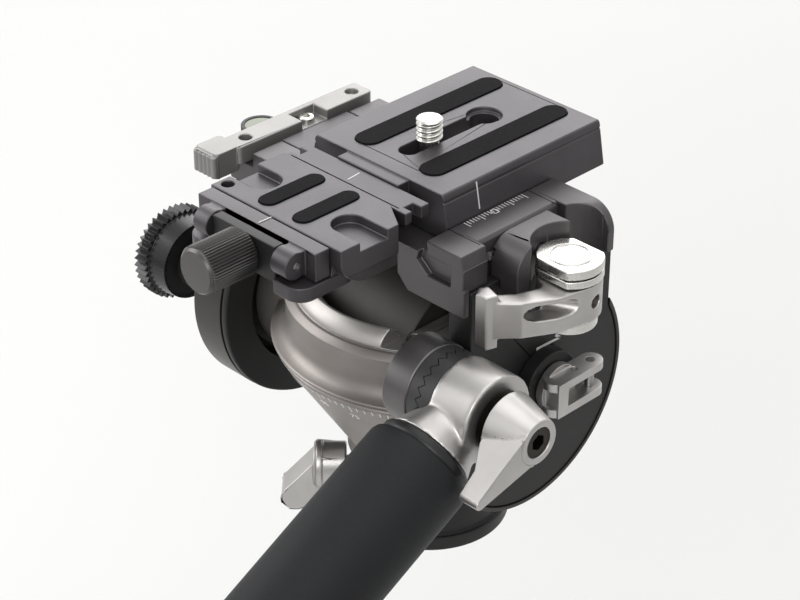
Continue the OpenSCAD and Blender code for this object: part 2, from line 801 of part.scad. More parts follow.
module dial_face() {
  color([0.08, 0.08, 0.08]) difference() {
    xcyl(dial_r - 3, dial_x1 - 1.5, dial_x1 - 0.2, dial_y, dial_z);
    xcyl(stud_r, dial_x1 - 2, dial_x1, dial_y, dial_z);
  }
}

module tilt_lock_lever() {
  color("Silver") difference() {
    union() {
      for (z = [-tlock_h, tlock_h - 2.2]) translate([0, 0, tlock_z + z]) linear_extrude(height = 2.2)
        slot2(tlock_x, tlock_y - 5.9, tlock_y + 12.1, 5.8);
      xcyl(6, side_x1 + tboss_h + gap, tlock_x - 1.3, tlock_y, tlock_z);
      box(tlock_x - 2.9, tlock_x + 2.9, tlock_y - 4.9, tlock_y - 1.5, tlock_z - tlock_h, tlock_z + tlock_h);
      xcyl(stud_r + 0.05, side_x1 - 0.7, side_x1 + tboss_h + 0.5, tlock_y, tlock_z);
    }
    zcyl(tpin_r, 0, far, tlock_x, tpin_y);
    zcyl(0.9, tlock_z + 3.2, far, tlock_x, tlock_y + 3.1);
  }
}

module tilt_lock_pin() {
  color("Gray") zcyl(tpin_r, tlock_z - tlock_h, tlock_z + tlock_h, tlock_x, tpin_y);
}

module left_jaw() {
  color([0.32, 0.31, 0.33]) difference() {
    union() {
      xz(slide_rear, slide_front)
        polygon([[bar_x1 + 1.2, floor_z + 0.2], [-half_at(floor_z + 0.2) - gap, floor_z + 0.2],
        [-half_at(jaw_z) - gap, jaw_z], [bar_x1 + 1.2, jaw_z]]);
      box(draw_x0 - 0.8, draw_x0 + 2.8, lever_y - 3.2, lever_y + 3.2, deck_z0 + 0.6, floor_z + 0.3);
    }
    xcyl(draw_r, draw_x0, draw_x0 + 13, lever_y, draw_z);
  }
}

module draw_bar() {
  color("Silver") xcyl(draw_r, draw_x0, lever_x - 3, lever_y, draw_z);
}

module lever_yoke() {
  color("Gainsboro") difference() {
    union() {
      intersection() {
        zcyl(cap_r, lever_z1 + gap, cap_z1, lever_x, lever_y);
        box(0, far, lever_y - 6.4, lever_y + 6.4, 0, far);
      }
      zcyl(3, lever_z0 - 2.8, lever_z1 + gap + 1, lever_x, lever_y);
      zcyl(6.8, lever_z0 - 3, lever_z0 - gap, lever_x, lever_y);
    }
    xcyl(draw_r, 0, lever_x - 3, lever_y, draw_z);
    difference() {
      zcyl(4.9, cap_z1 - 0.3, cap_z1 + 1, lever_x, lever_y);
      zcyl(4.6, cap_z1 - 1, cap_z1 + 2, lever_x, lever_y);
    }
    difference() {
      zcyl(cap_r + 1, cap_z1 - 2.7, cap_z1 - 2.3, lever_x, lever_y);
      zcyl(5.9, cap_z1 - 3, cap_z1 - 2, lever_x, lever_y);
    }
  }
}

module clamp_lever() {
  color("Silver") difference() {
    union() {
      zcyl(lever_r, lever_z0, lever_z1, lever_x, lever_y);
      translate([0, 0, lever_z0]) linear_extrude(height = lever_z1 - lever_z0)
        polygon([[lever_x + 7.5, lever_y - 1], [lever_x + 5.6, lever_y - 9.5], [lever_x + 1.4,
          lever_y - 17],
          [lever_x - 3.4, lever_y - 22], [lever_x - 7.4, lever_y - 20.6], [lever_x - 2.6, lever_y - 14.8],
          [lever_x - 0.6, lever_y - 9], [lever_x - 4, lever_y - 4]]);
      translate([0, 0, lever_z0 - 2.6]) linear_extrude(height = lever_z1 - lever_z0 + 4.4)
        polygon([[lever_x - 2.6, lever_y - 20.4], [lever_x - 3.6, lever_y - 23.4], [lever_x - 6.6,
          lever_y - 23.6],
          [lever_x - 8.2, lever_y - 21], [lever_x - 7, lever_y - 19]]);
    }
    zcyl(3 + fit, 0, far, lever_x, lever_y);
    translate([lever_x + 1.4, lever_y - 11.7, (lever_z0 + lever_z1) / 2 + 1.2]) rotate([0, 0, -61])
      rotate([90, 0, 0])
      translate([0, 0, -9]) linear_extrude(height = 18) rotate(90) slot2(0, -4.2, 4.2, 3.8);
    xcyl(1.7, lever_x + 3.4, far, lever_y + 1, (lever_z0 + lever_z1) / 2);
  }
}

module release_bar() {
  color("Silver") difference() {
    union() {
      translate([0, 0, bar_z0]) linear_extrude(height = bar_z1 - bar_z0)
        round2(bar_x0, bar_x1, bar_y0 + 6.4, bar_y1, 1.2);
      translate([0, 0, bar_z0 - 2]) linear_extrude(height = bar_z1 - bar_z0 + 2)
        round2(bar_x0 - 2, bar_x1 - 1, bar_y0, bar_y0 + 7.8, 1.2);
      for (i = [0 : 4]) zcyl(0.9, bar_z0 - 1.6, bar_z1 - 0.6, bar_x0 - 1 + i * 1.5, bar_y0);
    }
    zcyl(pivot_r + fit, 0, far, pivot_x, pivot_y);
    zcyl(pivot_r, 0, far, pivot_x, bar_hole_y);
    box(bar_x0 + 1.8, bar_x1 + 1, -6.5, 1.6, bar_z1 - 2.4, bar_z1 + 1);
  }
}

module bar_pin() {
  color("Gray") zcyl(pivot_r, deck_z0, bar_z1 - 1, pivot_x, pivot_y);
}

module camera_plate() {
  color([0.36, 0.35, 0.37]) difference() {
    union() {
      xz(plate_rear, plate_front) polygon([[-plate_foot, plate_z0], [plate_foot, plate_z0],
        [half_at(plate_top - 2.2), plate_top - 2.2], [half_at(plate_top - 2.2) - 0.4, plate_top - 2],
        [half_at(plate_top - 1.8), plate_top - 1.8], [plate_half, plate_top - 0.4], [plate_half - 0.4,
          plate_top],
        [0.4 - plate_half, plate_top], [-plate_half, plate_top - 0.4], [-half_at(plate_top - 1.8),
          plate_top - 1.8],
        [0.4 - half_at(plate_top - 2.2), plate_top - 2], [-half_at(plate_top - 2.2), plate_top - 2.2]]);
      box(-tongue_half, tongue_half, tongue_rear, plate_rear + 1, plate_z0, plate_top - 0.4);
    }
    translate([0, 0, floor_z]) linear_extrude(height = far) {
      slot2(0, slot_rear, key_y + 1, slot_w);
      translate([0, key_y]) circle(r = key_r);
    }
    zcyl(key_r + 0.8, plate_top - 1.2, plate_top + 1, 0, key_y);
    box(-pocket_half, pocket_half, -14, 25, plate_z0 - 1, pocket_z);
    for (s = [-1, 1]) translate([0, 0, plate_top - pad_depth]) linear_extrude(height = 3)
      slot2(s * pad_x, pad_rear, pad_front, pad_w);
  }
}

module plate_pads() {
  color([0.13, 0.13, 0.14]) for (s = [-1, 1]) translate([0, 0, plate_top - pad_depth])
    linear_extrude(height = pad_depth + pad_proud) slot2(s * pad_x, pad_rear, pad_front, pad_w);
}

module rear_bridge() {
  color([0.34, 0.33, 0.35]) {
    translate([0, 0, bridge_top - 3]) linear_extrude(height = 3)
      difference() {
        translate([-bridge_half, bridge_rear]) square([2 * bridge_half, tongue_rear - bridge_rear]);
        for (x = [-bridge_half - 1, bridge_half - 2.6]) translate([x, bridge_rear + 2.1])
          square([3.6, tongue_rear - bridge_rear - 4.7]);
      }
    box(-9, 9, bridge_rear, tongue_rear, plate_z0, bridge_top - 2);
  }
}

module rear_base() {
  color([0.34, 0.33, 0.35]) difference() {
    union() {
      box(rear_x0, rear_x1 - 3.2, rear_y, bridge_rear, plate_z0, rear_top);
      yz(rear_x1 - 3.3, rear_x1 - 1) rear_side2();
      yz(rear_x1 - 1.1, rear_x1) intersection() {
        rear_side2();
        translate([-80, lip_z]) square([80, 40]);
      }
      translate([0, 0, plate_z0]) linear_extrude(height = lip_z - plate_z0)
        round2(-18, 20, lip_y, rear_y + 8, 4);
    }
    linear_extrude(height = far) polygon([[15.2, bridge_rear + 0.1], [25, -34.4], [25, -27]]);
    translate([0, 0, rear_top - 2.2]) linear_extrude(height = 9) {
      translate([15, recess_y - recess_r / 2]) square([12, recess_r]);
      translate([15, recess_y]) circle(r = recess_r / 2);
      translate([-25, recess_y - recess_r / 2]) square([12, recess_r]);
      translate([-13, recess_y]) circle(r = recess_r / 2);
    }
    for (x = rear_pad_x) translate([0, 0, rear_top - pad_depth]) linear_extrude(height = 3)
      slot2(x, rear_pad_y[0], rear_pad_y[1], rear_pad_w);
    box(-9.8, 11.4, lip_y - 1, lug_y + 1.5, 0, floor_z + 6);
    ycyl(stud_bore, rear_y - 1, -42, knob_x, knob_z);
    zcyl(screw_r, 0, far, rear_x0 + 2.6, rear_y + 2.9);
  }
}

// side outline of the rear base, its lower rear corner well rounded
module rear_side2() {
  translate([rear_y + 10.1, plate_z0]) square([bridge_rear - rear_y - 10.1, rear_top - plate_z0]);
  intersection() {
    translate([rear_y + 10.1, rear_top]) circle(r = rear_top - plate_z0);
    translate([rear_y, plate_z0]) square([12, rear_top - plate_z0]);
  }
}

module rear_pads() {
  color([0.13, 0.13, 0.14]) for (x = rear_pad_x) translate([0, 0, rear_top - pad_depth])
    linear_extrude(height = pad_depth + pad_proud) slot2(x, rear_pad_y[0], rear_pad_y[1], rear_pad_w);
}

module screw_washer() {
  color("Silver") difference() {
    zcyl(6.4, pocket_z - 0.8, pocket_z - 0.2, 0, screw_y);
    zcyl(neck_screw_r + fit, pocket_z - 2, pocket_z + 1, 0, screw_y);
  }
}

module camera_screw() {
  color("Gainsboro") difference() {
    union() {
      zcyl(6, pocket_z - 3.9, pocket_z - 0.9, 0, screw_y);
      zcyl(neck_screw_r, pocket_z - 1, plate_top + 1, 0, screw_y);
      zcyl(camera_r, plate_top + 0.5, plate_top + 5.4, 0, screw_y);
      translate([0, screw_y, plate_top + 5.4]) cylinder(r1 = camera_r, r2 = camera_r - 0.77, h = 0.6);
    }
    box(-pocket_half, pocket_half, screw_y - 0.7, screw_y + 0.7, floor_z, pocket_z - 2.6);
  }
}

module rear_jaw() {
  color([0.34, 0.33, 0.35]) difference() {
    union() {
      box(rear_x0 + 1, rear_x1 - 3.2, lug_y + 2.5, rear_y - gap, lip_z + gap, rear_top - 0.1);
      for (x = [[-14.2, -9.7], [11.3, 16.4]]) {
        xcyl(3.3, x[0], x[1], lug_y, lug_z);
        box(x[0], x[1], lug_y, lug_y + 2.9, lug_z - 3, lug_z + 3);
      }
    }
    ycyl(stud_r + 0.25, lug_y - 2.6, lug_y + 7.4, knob_x, knob_z);
    xcyl(lug_pin_r, -far, far, lug_y, lug_z);
  }
}

module rear_block() {
  color([0.22, 0.22, 0.23]) difference() {
    box(-9.4, 11, lug_y - 1.5, lug_y + 1.3, floor_z + 2, floor_z + 11);
    ycyl(stud_r + 0.25, lug_y - 4.6, lug_y + 7.4, knob_x, knob_z);
    xcyl(lug_pin_r, -far, far, lug_y, lug_z);
  }
}

module rear_pins() {
  color("Gray") {
    xcyl(lug_pin_r, -13.8, -5, lug_y, lug_z);
    xcyl(lug_pin_r, 6.6, 16, lug_y, lug_z);
  }
}

module rear_knob() {
  color([0.2, 0.2, 0.21]) difference() {
    union() {
      translate([knob_x, knob_y1, knob_z]) rotate([90, 0, 0])
        linear_extrude(height = knob_y1 - knob_y0 - 0.8)
        teeth2(knob_r, 0.45, knob_grooves);
      ycyl(knob_r - 0.9, knob_y0, knob_y0 + 2, knob_x, knob_z);
    }
    ycyl(stud_r, knob_y1 - 6, knob_y1 + 1, knob_x, knob_z);
  }
}

module rear_stud() {
  color("Silver") ycyl(stud_r, knob_y1 - 6, rear_y + 5.3, knob_x, knob_z);
}

// frame of the handle: its third axis runs along the handle, away from the hub
module handle_frame() {
  translate([grip_x, hub_y, hub_z]) rotate([90 + handle_drop, 0, 0]) children();
}

module handle_clamp() {
  color("Silver") difference() {
    union() {
      xcyl(hub_r, handle_x - hub_half, handle_x + hub_half, hub_y, hub_z);
      handle_frame() rotate_extrude() polygon([[0, 0], [8, 0], [8.1, 7.4], [8.8, 9.8],
        [9.8, 12.2], [grip_r - 2.4, grip_start - 0.2], [0, grip_start - 0.2]]);
    }
    xcyl(hstud_bore, 0, far, hub_y, hub_z);
    handle_frame() translate([0, 0, tube_start]) cylinder(r = tube_r, h = 60);
    xcyl(hub_r + gap, 0, handle_x - hub_half, hub_y, hub_z);
  }
}

module handle_tube() {
  color("Gray") handle_frame() difference() {
    translate([0, 0, tube_start]) cylinder(r = tube_r, h = handle_len - tube_start - 3);
    translate([0, 0, tube_start - 1]) cylinder(r = tube_r - 1, h = handle_len);
  }
}

module handle_grip() {
  color([0.12, 0.13, 0.16]) handle_frame() rotate_extrude()
    polygon([[tube_r, grip_start], [grip_r - 2.2, grip_start], [grip_r - 1.6, grip_start + 0.5],
    [grip_r - 1.3, grip_start + 2.3], [grip_r - 0.6, grip_start + 2.7], [grip_r, grip_start + 4.4],
    [grip_r, handle_len - 5], [grip_r - 0.8, handle_len - 2], [grip_r - 3, handle_len],
    [0, handle_len], [0, handle_len - 3], [tube_r, handle_len - 3]]);
}

module wing_lever() {
  color("Silver") difference() {
    union() {
      translate([wing_x, hub_y, hub_z]) rotate([0, 90, 0])
        cylinder(r1 = hub_r - 2.4, r2 = hub_r - 5.2, h = wing_h);
      yz(wing_x + 0.4, wing_x + wing_h - 0.4) translate([hub_y, hub_z]) rotate(180 + wing_drop)
        tear2(5.2, 1.3, wing_reach - 1.3);
    }
    translate([0, hub_y, hub_z]) rotate([wing_drop, 0, 0]) translate([0, 0, -20])
      linear_extrude(height = 40)
      polygon([[wing_x - 2.2, -7], [wing_x - 0.2, -7], [wing_x + 3.5, -14], [wing_x + 4.4, -30],
        [wing_x - 2.2, -30]]);
    xcyl(hstud_r + fit, 0, wing_x + 3, hub_y, hub_z);
    xcyl(stud_r + 0.05, wing_x + 2.8, far, hub_y, hub_z);
    xcyl(3.7, wing_x + 6.6, far, hub_y, hub_z);
  }
}

module wing_screw() {
  color("Black") difference() {
    union() {
      xcyl(3.6, wing_x + 6.6, wing_x + wing_h - 0.4, hub_y, hub_z);
      xcyl(stud_r + 0.05, wing_x + 3.1, wing_x + 6.8, hub_y, hub_z);
    }
    translate([wing_x + 7.6, hub_y, hub_z]) rotate([0, 90, 0]) cylinder(r = 2, h = 4, $fn = 6);
  }
}

base_body();
base_plug();
pan_bushing();
pan_drag_stator();
pan_lock_knob();
pan_lock_stud();
bowl();
pan_spindle();
pan_drag_rotor();
tilt_bushings();
spring_drum();
counter_spring();
tilt_drag_stator();
rim_screws();
tilt_shaft();
right_side();
right_rim();
left_drum();
left_rim();
left_cover();
tilt_drag_rotor();
platform();
scale_jaw();
cam_seat();
deck_screws();
level_cup();
level_vial();
tilt_lock_boss();
handle_mount();
fixed_rosette();
handle_stud();
drag_dial();
dial_face();
tilt_lock_lever();
tilt_lock_pin();
left_jaw();
draw_bar();
lever_yoke();
clamp_lever();
release_bar();
bar_pin();
camera_plate();
plate_pads();
rear_bridge();
rear_base();
rear_pads();
screw_washer();
camera_screw();
rear_jaw();
rear_block();
rear_pins();
rear_knob();
rear_stud();
handle_clamp();
handle_rosette();
handle_tube();
handle_grip();
wing_lever();
wing_screw();
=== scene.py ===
# %% [markdown]
# A fluid video head, dressed for its portrait.
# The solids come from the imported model, in metres, with the seat under the base at the origin, Z up and Y forward.
# This script never moves them. It adds rounded edges, marks, threads and finishes, and each piece rides on
# the body that carries it, so that the head still pans, tilts and clamps.

import json
from math import cos, pi, radians, sin

import bmesh
import bpy
from mathutils import Matrix, Vector


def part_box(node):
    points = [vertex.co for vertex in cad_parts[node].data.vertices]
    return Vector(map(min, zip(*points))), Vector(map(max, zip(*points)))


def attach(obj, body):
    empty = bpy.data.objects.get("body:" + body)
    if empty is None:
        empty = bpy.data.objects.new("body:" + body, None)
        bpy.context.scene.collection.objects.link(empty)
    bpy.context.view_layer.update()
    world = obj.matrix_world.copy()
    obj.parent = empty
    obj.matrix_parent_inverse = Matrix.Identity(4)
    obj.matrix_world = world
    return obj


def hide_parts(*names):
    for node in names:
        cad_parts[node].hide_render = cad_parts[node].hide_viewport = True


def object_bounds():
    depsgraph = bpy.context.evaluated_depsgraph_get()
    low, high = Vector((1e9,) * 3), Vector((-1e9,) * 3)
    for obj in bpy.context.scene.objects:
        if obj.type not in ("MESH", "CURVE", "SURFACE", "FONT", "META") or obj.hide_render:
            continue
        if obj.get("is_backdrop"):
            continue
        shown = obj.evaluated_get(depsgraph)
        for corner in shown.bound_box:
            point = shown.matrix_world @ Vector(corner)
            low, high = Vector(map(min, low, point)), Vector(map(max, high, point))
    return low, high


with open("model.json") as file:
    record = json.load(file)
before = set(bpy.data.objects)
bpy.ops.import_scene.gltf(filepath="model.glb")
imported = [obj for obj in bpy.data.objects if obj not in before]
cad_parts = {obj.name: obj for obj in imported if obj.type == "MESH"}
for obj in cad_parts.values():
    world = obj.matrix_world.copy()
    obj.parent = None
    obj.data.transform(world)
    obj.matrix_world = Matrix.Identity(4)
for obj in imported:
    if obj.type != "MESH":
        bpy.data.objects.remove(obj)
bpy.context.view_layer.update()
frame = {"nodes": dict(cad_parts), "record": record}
scene = bpy.context.scene
MM = 0.001

# %% [markdown]
# The camera stands behind the head, to its right, and looks down on the plate.
# Its place was found by matching the plate's corners, the side disc and the camera screw to the picture.
# A lens of about 104 mm on a 36 mm film gives the same slight perspective.

# %% Camera
LOOK_DOWN, LOOK_ROUND = 31.5, 45.4
lens = bpy.data.cameras.new("portrait_camera")
lens.lens = 104.4
lens.sensor_width = 36
lens.clip_start = 0.01
camera = bpy.data.objects.new("portrait_camera", lens)
camera.location = (0.336757, -0.342207, 0.354878)
camera.rotation_euler = (radians(90 - LOOK_DOWN), 0, radians(LOOK_ROUND))
scene.collection.objects.link(camera)
scene.camera = camera
print("camera at", tuple(round(v, 3) for v in camera.location))

# %% [markdown]
# The world is pale and plain. It looks almost white to the camera and to shiny metal, but lights the head with
# less, so that dark finishes stay dark. A Light Path node tells the kinds of ray apart, and a Mix Shader picks
# the strength for each. One bright world for all rays would be simpler, but it would wash the black parts out.

# %% World
SEEN_STRENGTH, LIGHT_STRENGTH = 1.0, 0.3
scene.view_settings.view_transform = "Standard"


def maths(tree, operation, second=None):
    node = tree.nodes.new("ShaderNodeMath")
    node.operation = operation
    if second is not None:
        node.inputs[1].default_value = second
    return node


def backdrop(tree, colour, strength):
    node = tree.nodes.new("ShaderNodeBackground")
    node.inputs["Color"].default_value = colour + (1,)
    node.inputs["Strength"].default_value = strength
    return node


def pale_world():
    world = bpy.data.worlds.new("pale_studio")
    world.use_nodes = True
    tree = world.node_tree
    tree.nodes.clear()
    link = tree.links.new
    out = tree.nodes.new("ShaderNodeOutputWorld")
    seen = backdrop(tree, (0.93, 0.93, 0.92), SEEN_STRENGTH)
    light = backdrop(tree, (0.97, 0.97, 0.96), LIGHT_STRENGTH)
    path = tree.nodes.new("ShaderNodeLightPath")
    rays = path.outputs["Is Camera Ray"]
    for kind in ("Is Glossy Ray", "Is Transmission Ray"):
        either = maths(tree, "MAXIMUM")
        link(rays, either.inputs[0])
        link(path.outputs[kind], either.inputs[1])
        rays = either.outputs[0]
    mix = tree.nodes.new("ShaderNodeMixShader")
    link(rays, mix.inputs[0])
    link(light.outputs[0], mix.inputs[1])
    link(seen.outputs[0], mix.inputs[2])
    link(mix.outputs[0], out.inputs["Surface"])
    scene.world = world


pale_world()
print("world:", scene.world.name)

# %% [markdown]
# Four soft lamps stand for a studio: a large one behind the head, whose sheen lies on every top face, one above,
# one from the left and a weak one near the camera. Area lamps are used because a small lamp would leave hard
# shadows and pin-sharp glints on the metal. The floor lies low enough for the grip to swing down.

# %% Lamps and floor
FLOOR_Z, FLOOR_HALF = -0.2, 6


def soft_lamp(name, place, aim, size, power):
    lamp = bpy.data.lights.new(name, "AREA")
    lamp.shape = "RECTANGLE"
    lamp.size, lamp.size_y = size
    lamp.energy = power
    obj = bpy.data.objects.new(name, lamp)
    obj.location = place
    obj.rotation_euler = (Vector(aim) - Vector(place)).to_track_quat("-Z", "Y").to_euler()
    scene.collection.objects.link(obj)


soft_lamp("back_box", (-1.1, 1.15, 1.0), (0, 0, 0.08), (1.9, 1.3), 23)
soft_lamp("top_box", (0.15, 0.1, 1.2), (0, 0, 0.08), (1.0, 1.0), 4)
soft_lamp("left_box", (-0.75, -0.45, 0.45), (0, 0, 0.06), (0.45, 0.7), 4)
soft_lamp("fill_box", (0.55, -0.75, 0.6), (0, 0, 0.06), (0.5, 0.5), 4)

corners = [(x * FLOOR_HALF, y * FLOOR_HALF, FLOOR_Z) for x, y in ((-1, -1), (1, -1), (1, 1), (-1, 1))]
floor_mesh = bpy.data.meshes.new("floor")
floor_mesh.from_pydata(corners, [], [(0, 1, 2, 3)])
floor = bpy.data.objects.new("floor", floor_mesh)
scene.collection.objects.link(floor)
floor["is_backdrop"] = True
floor_paint = bpy.data.materials.new("floor_paint")
floor_paint.use_nodes = True
floor_shader = floor_paint.node_tree.nodes["Principled BSDF"]
floor_shader.inputs["Base Color"].default_value = (0.84, 0.84, 0.83, 1)
floor_shader.inputs["Roughness"].default_value = 0.9
floor_mesh.materials.append(floor_paint)

# %% [markdown]
# Most finishes are metal with a fine even skin: anodised, bead-blasted or turned. One recipe serves them all.
# A broad noise shifts the colour a little, as handling does, and a fine one changes the gloss and roughens the
# surface. The noises read object coordinates, so they stay put on the piece when it moves.

# %% Finishes
BROAD, BROAD_DETAIL, FINE_DETAIL = 60, 3, 2
BUMP_HEIGHT = 0.1 * MM
FINISH = {}


def noise(tree, scale, detail):
    coord = tree.nodes.new("ShaderNodeTexCoord")
    tex = tree.nodes.new("ShaderNodeTexNoise")
    tex.inputs["Scale"].default_value = scale
    tex.inputs["Detail"].default_value = detail
    tree.links.new(coord.outputs["Object"], tex.inputs["Vector"])
    return tex


def skin(name, colour, metallic, rough, grain=2500, bump=0.05, tint=0.12, spread=0.08, shine=0.5):
    mat = bpy.data.materials.new(name)
    mat.use_nodes = True
    tree = mat.node_tree
    link = tree.links.new
    shader = tree.nodes["Principled BSDF"]
    shader.inputs["Metallic"].default_value = metallic
    shader.inputs["Specular IOR Level"].default_value = shine
    broad = noise(tree, BROAD, BROAD_DETAIL)
    ramp = tree.nodes.new("ShaderNodeValToRGB")
    dull, clear = ramp.color_ramp.elements
    dull.position, clear.position = 0.3, 0.7
    dull.color = tuple(c * (1 - tint) for c in colour) + (1,)
    clear.color = tuple(min(1, c * (1 + tint)) for c in colour) + (1,)
    link(broad.outputs[0], ramp.inputs[0])
    link(ramp.outputs[0], shader.inputs["Base Color"])
    fine = noise(tree, grain, FINE_DETAIL)
    span = tree.nodes.new("ShaderNodeMapRange")
    span.inputs["To Min"].default_value = max(0.02, rough - spread)
    span.inputs["To Max"].default_value = min(1, rough + spread)
    link(fine.outputs[0], span.inputs[0])
    link(span.outputs[0], shader.inputs["Roughness"])
    if bump:
        lift = tree.nodes.new("ShaderNodeBump")
        lift.inputs["Strength"].default_value = bump
        lift.inputs["Distance"].default_value = BUMP_HEIGHT
        link(fine.outputs[0], lift.inputs["Height"])
        link(lift.outputs[0], shader.inputs["Normal"])
    FINISH[name] = mat


skin("black_metal", (0.014, 0.0133, 0.0135), 0.0, 0.46, shine=0.3)
skin("dark_metal", (0.08, 0.0745, 0.0795), 0.7, 0.43)
skin("bowl_metal", (0.25, 0.23, 0.217), 0.8, 0.44)
skin("drum_metal", (0.05, 0.046, 0.0435), 0.4, 0.5)
skin("satin_metal", (0.47, 0.455, 0.445), 0.95, 0.38, bump=0.08)
skin("bright_metal", (0.64, 0.63, 0.6), 1.0, 0.27, bump=0.0, tint=0.03, spread=0.05)
skin("steel", (0.3, 0.3, 0.3), 1.0, 0.3)
skin("bronze", (0.4, 0.27, 0.13), 1.0, 0.35)
skin("damper", (0.03, 0.028, 0.026), 0.0, 0.5)
skin("pad_rubber", (0.008, 0.008, 0.009), 0.0, 0.8, grain=1400, bump=0.3, shine=0.08)
skin("grip_rubber", (0.011, 0.0115, 0.013), 0.0, 0.6, grain=1600, bump=0.25, shine=0.25)
skin("vial_glass", (0.16, 0.19, 0.11), 0.0, 0.1, bump=0.0)
skin("rim_metal", (0.05, 0.047, 0.044), 0.7, 0.38)
skin("bar_metal", (0.29, 0.28, 0.272), 0.6, 0.45)
skin("dial_black", (0.018, 0.018, 0.019), 0.3, 0.28)
skin("screw_black", (0.03, 0.026, 0.022), 0.9, 0.32)
skin("knob_metal", (0.1, 0.097, 0.096), 0.8, 0.34)
# This finish is dark_metal made a quarter lighter: painted light on the clamp parts that lie in the plate's shadow.
skin("jaw_metal_painted_lighter", (0.1, 0.093, 0.098), 0.7, 0.43)
skin("mount_metal", (0.12, 0.115, 0.116), 0.85, 0.38)
skin("white_ink", (0.8, 0.8, 0.79), 0.0, 0.6)
skin("seam_black", (0.01, 0.01, 0.01), 0.0, 0.8, shine=0.0)
skin("collar_plastic", (0.012, 0.012, 0.013), 0.0, 0.4, shine=0.35)
skin("tooth_plastic", (0.03, 0.03, 0.032), 0.0, 0.4)
print("finishes:", len(FINISH))

# %% [markdown]
# The bowl's raised rim is painted brighter than the cone below it: a painted highlight for the light that falls on its
# top.
# One material does it: the height in object coordinates is compared with the seam's, and a Mix node changes the colour
# above it.
# In its colour mode a Mix node takes its two colours at inputs 6 and 7 and gives the result at output 2.

# %% Painted light on the bowl's rim
RIM_SEAM = 66.7
MIX_FIRST, MIX_SECOND, MIX_RESULT = 6, 7, 2


def painted_rim_light(name, level, colour):
    tree = FINISH[name].node_tree
    link = tree.links.new
    paint = tree.nodes["Principled BSDF"].inputs["Base Color"]
    below = paint.links[0].from_socket
    coord = tree.nodes.new("ShaderNodeTexCoord")
    split = tree.nodes.new("ShaderNodeSeparateXYZ")
    above = maths(tree, "GREATER_THAN", level * MM)
    mix = tree.nodes.new("ShaderNodeMix")
    mix.data_type = "RGBA"
    mix.inputs[MIX_SECOND].default_value = colour + (1,)
    link(coord.outputs["Object"], split.inputs[0])
    link(split.outputs["Z"], above.inputs[0])
    link(above.outputs[0], mix.inputs[0])
    link(below, mix.inputs[MIX_FIRST])
    link(mix.outputs[MIX_RESULT], paint)


# The paler colour above the seam is painted light on the rim's top, not a different metal.
painted_rim_light("bowl_metal", RIM_SEAM, (0.42, 0.4, 0.385))
print("bowl is brighter above", RIM_SEAM, "mm")

# %% [markdown]
# The record gives every solid a material slot, and each slot has a finish of the same name. A few pieces differ
# in tone from others in their slot, so they get a finish of their own and keep the slot. The platform, the scale jaw
# and the cam seat instead get a lighter copy of dark_metal: painted light where the plate shades them.

# %% A finish for every solid
SLOT = {part["node"]: part["material_slot"] for part in frame["record"]["subparts"]}
OWN = {
    "right_rim": "rim_metal", "left_rim": "rim_metal", "release_bar": "bar_metal", "drag_dial": "dial_black",
    "wing_screw": "screw_black", "handle_mount": "mount_metal", "spring_drum": "drum_metal",
    "rear_pins": "bright_metal", "platform": "jaw_metal_painted_lighter", "scale_jaw": "jaw_metal_painted_lighter", "cam_seat": "jaw_metal_painted_lighter",
}
for name, obj in frame["nodes"].items():
    obj.data.materials.clear()
    obj.data.materials.append(FINISH[OWN.get(name, SLOT[name])])
print("solids with a finish of their own:", len(OWN))

# %% [markdown]
# A machined edge is never truly sharp: it carries a small chamfer that catches the light, and the eye reads
# the part's size from it. Each visible solid gets a copy with its loose triangles merged, its flat faces joined
# and its sharp edges bevelled by a fraction of a millimetre. Normals weighted by area keep the large faces flat
# to the light, so that only the chamfers glint. The copy stands for the solid and rides on its body.
# Where a flat face has a hole in it, the joined face closes on itself like a ring, which a bevel would fill in.
# Those copies are cut back into triangles first, and their flat faces are joined again after the bevel.

# %% Rounded copies of machined parts
BODY = {node: body for body, nodes in frame["record"]["behaviour"]["bodies"].items() for node in nodes}
RINGED = "camera_plate base_body right_side spring_drum lever_yoke pan_lock_knob bowl drag_dial".split()
FLAT = radians(0.5)
SHARP_EDGE = radians(34)
WELD = 2e-6
CHAMFER = {
    0.3: "camera_plate rear_base rear_bridge rear_jaw rear_block platform scale_jaw left_jaw",
    0.5: "right_side left_drum left_cover base_body tilt_lock_boss handle_mount spring_drum",
    0.35: "cam_seat lever_yoke release_bar wing_lever pan_lock_knob bowl",
    0.15: "tilt_lock_lever drag_dial plate_pads rear_pads right_rim left_rim level_cup base_plug",
}


def piece(name, mesh, body, stands_for=()):
    obj = bpy.data.objects.new(name, mesh)
    scene.collection.objects.link(obj)
    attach(obj, body)
    if stands_for:
        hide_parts(*stands_for)


def merged(node):
    bm = bmesh.new()
    bm.from_mesh(frame["nodes"][node].data)
    bmesh.ops.remove_doubles(bm, verts=bm.verts, dist=WELD)
    bmesh.ops.dissolve_limit(bm, angle_limit=FLAT, verts=bm.verts, edges=bm.edges)
    if node in RINGED:
        bmesh.ops.triangulate(bm, faces=[face for face in bm.faces if len(face.verts) > 4])
    mesh = bpy.data.meshes.new(node)
    bm.to_mesh(mesh)
    bm.free()
    return mesh


def drafted(name, data):
    draft = bpy.data.objects.new(name + "_draft", data)
    scene.collection.objects.link(draft)
    return draft


def settle(draft):
    graph = bpy.context.evaluated_depsgraph_get()
    mesh = bpy.data.meshes.new_from_object(draft.evaluated_get(graph))
    bpy.data.objects.remove(draft)
    return mesh


def smooth(mesh, angle):
    mesh.polygons.foreach_set("use_smooth", [True] * len(mesh.polygons))
    mesh.set_sharp_from_angle(angle=radians(angle))


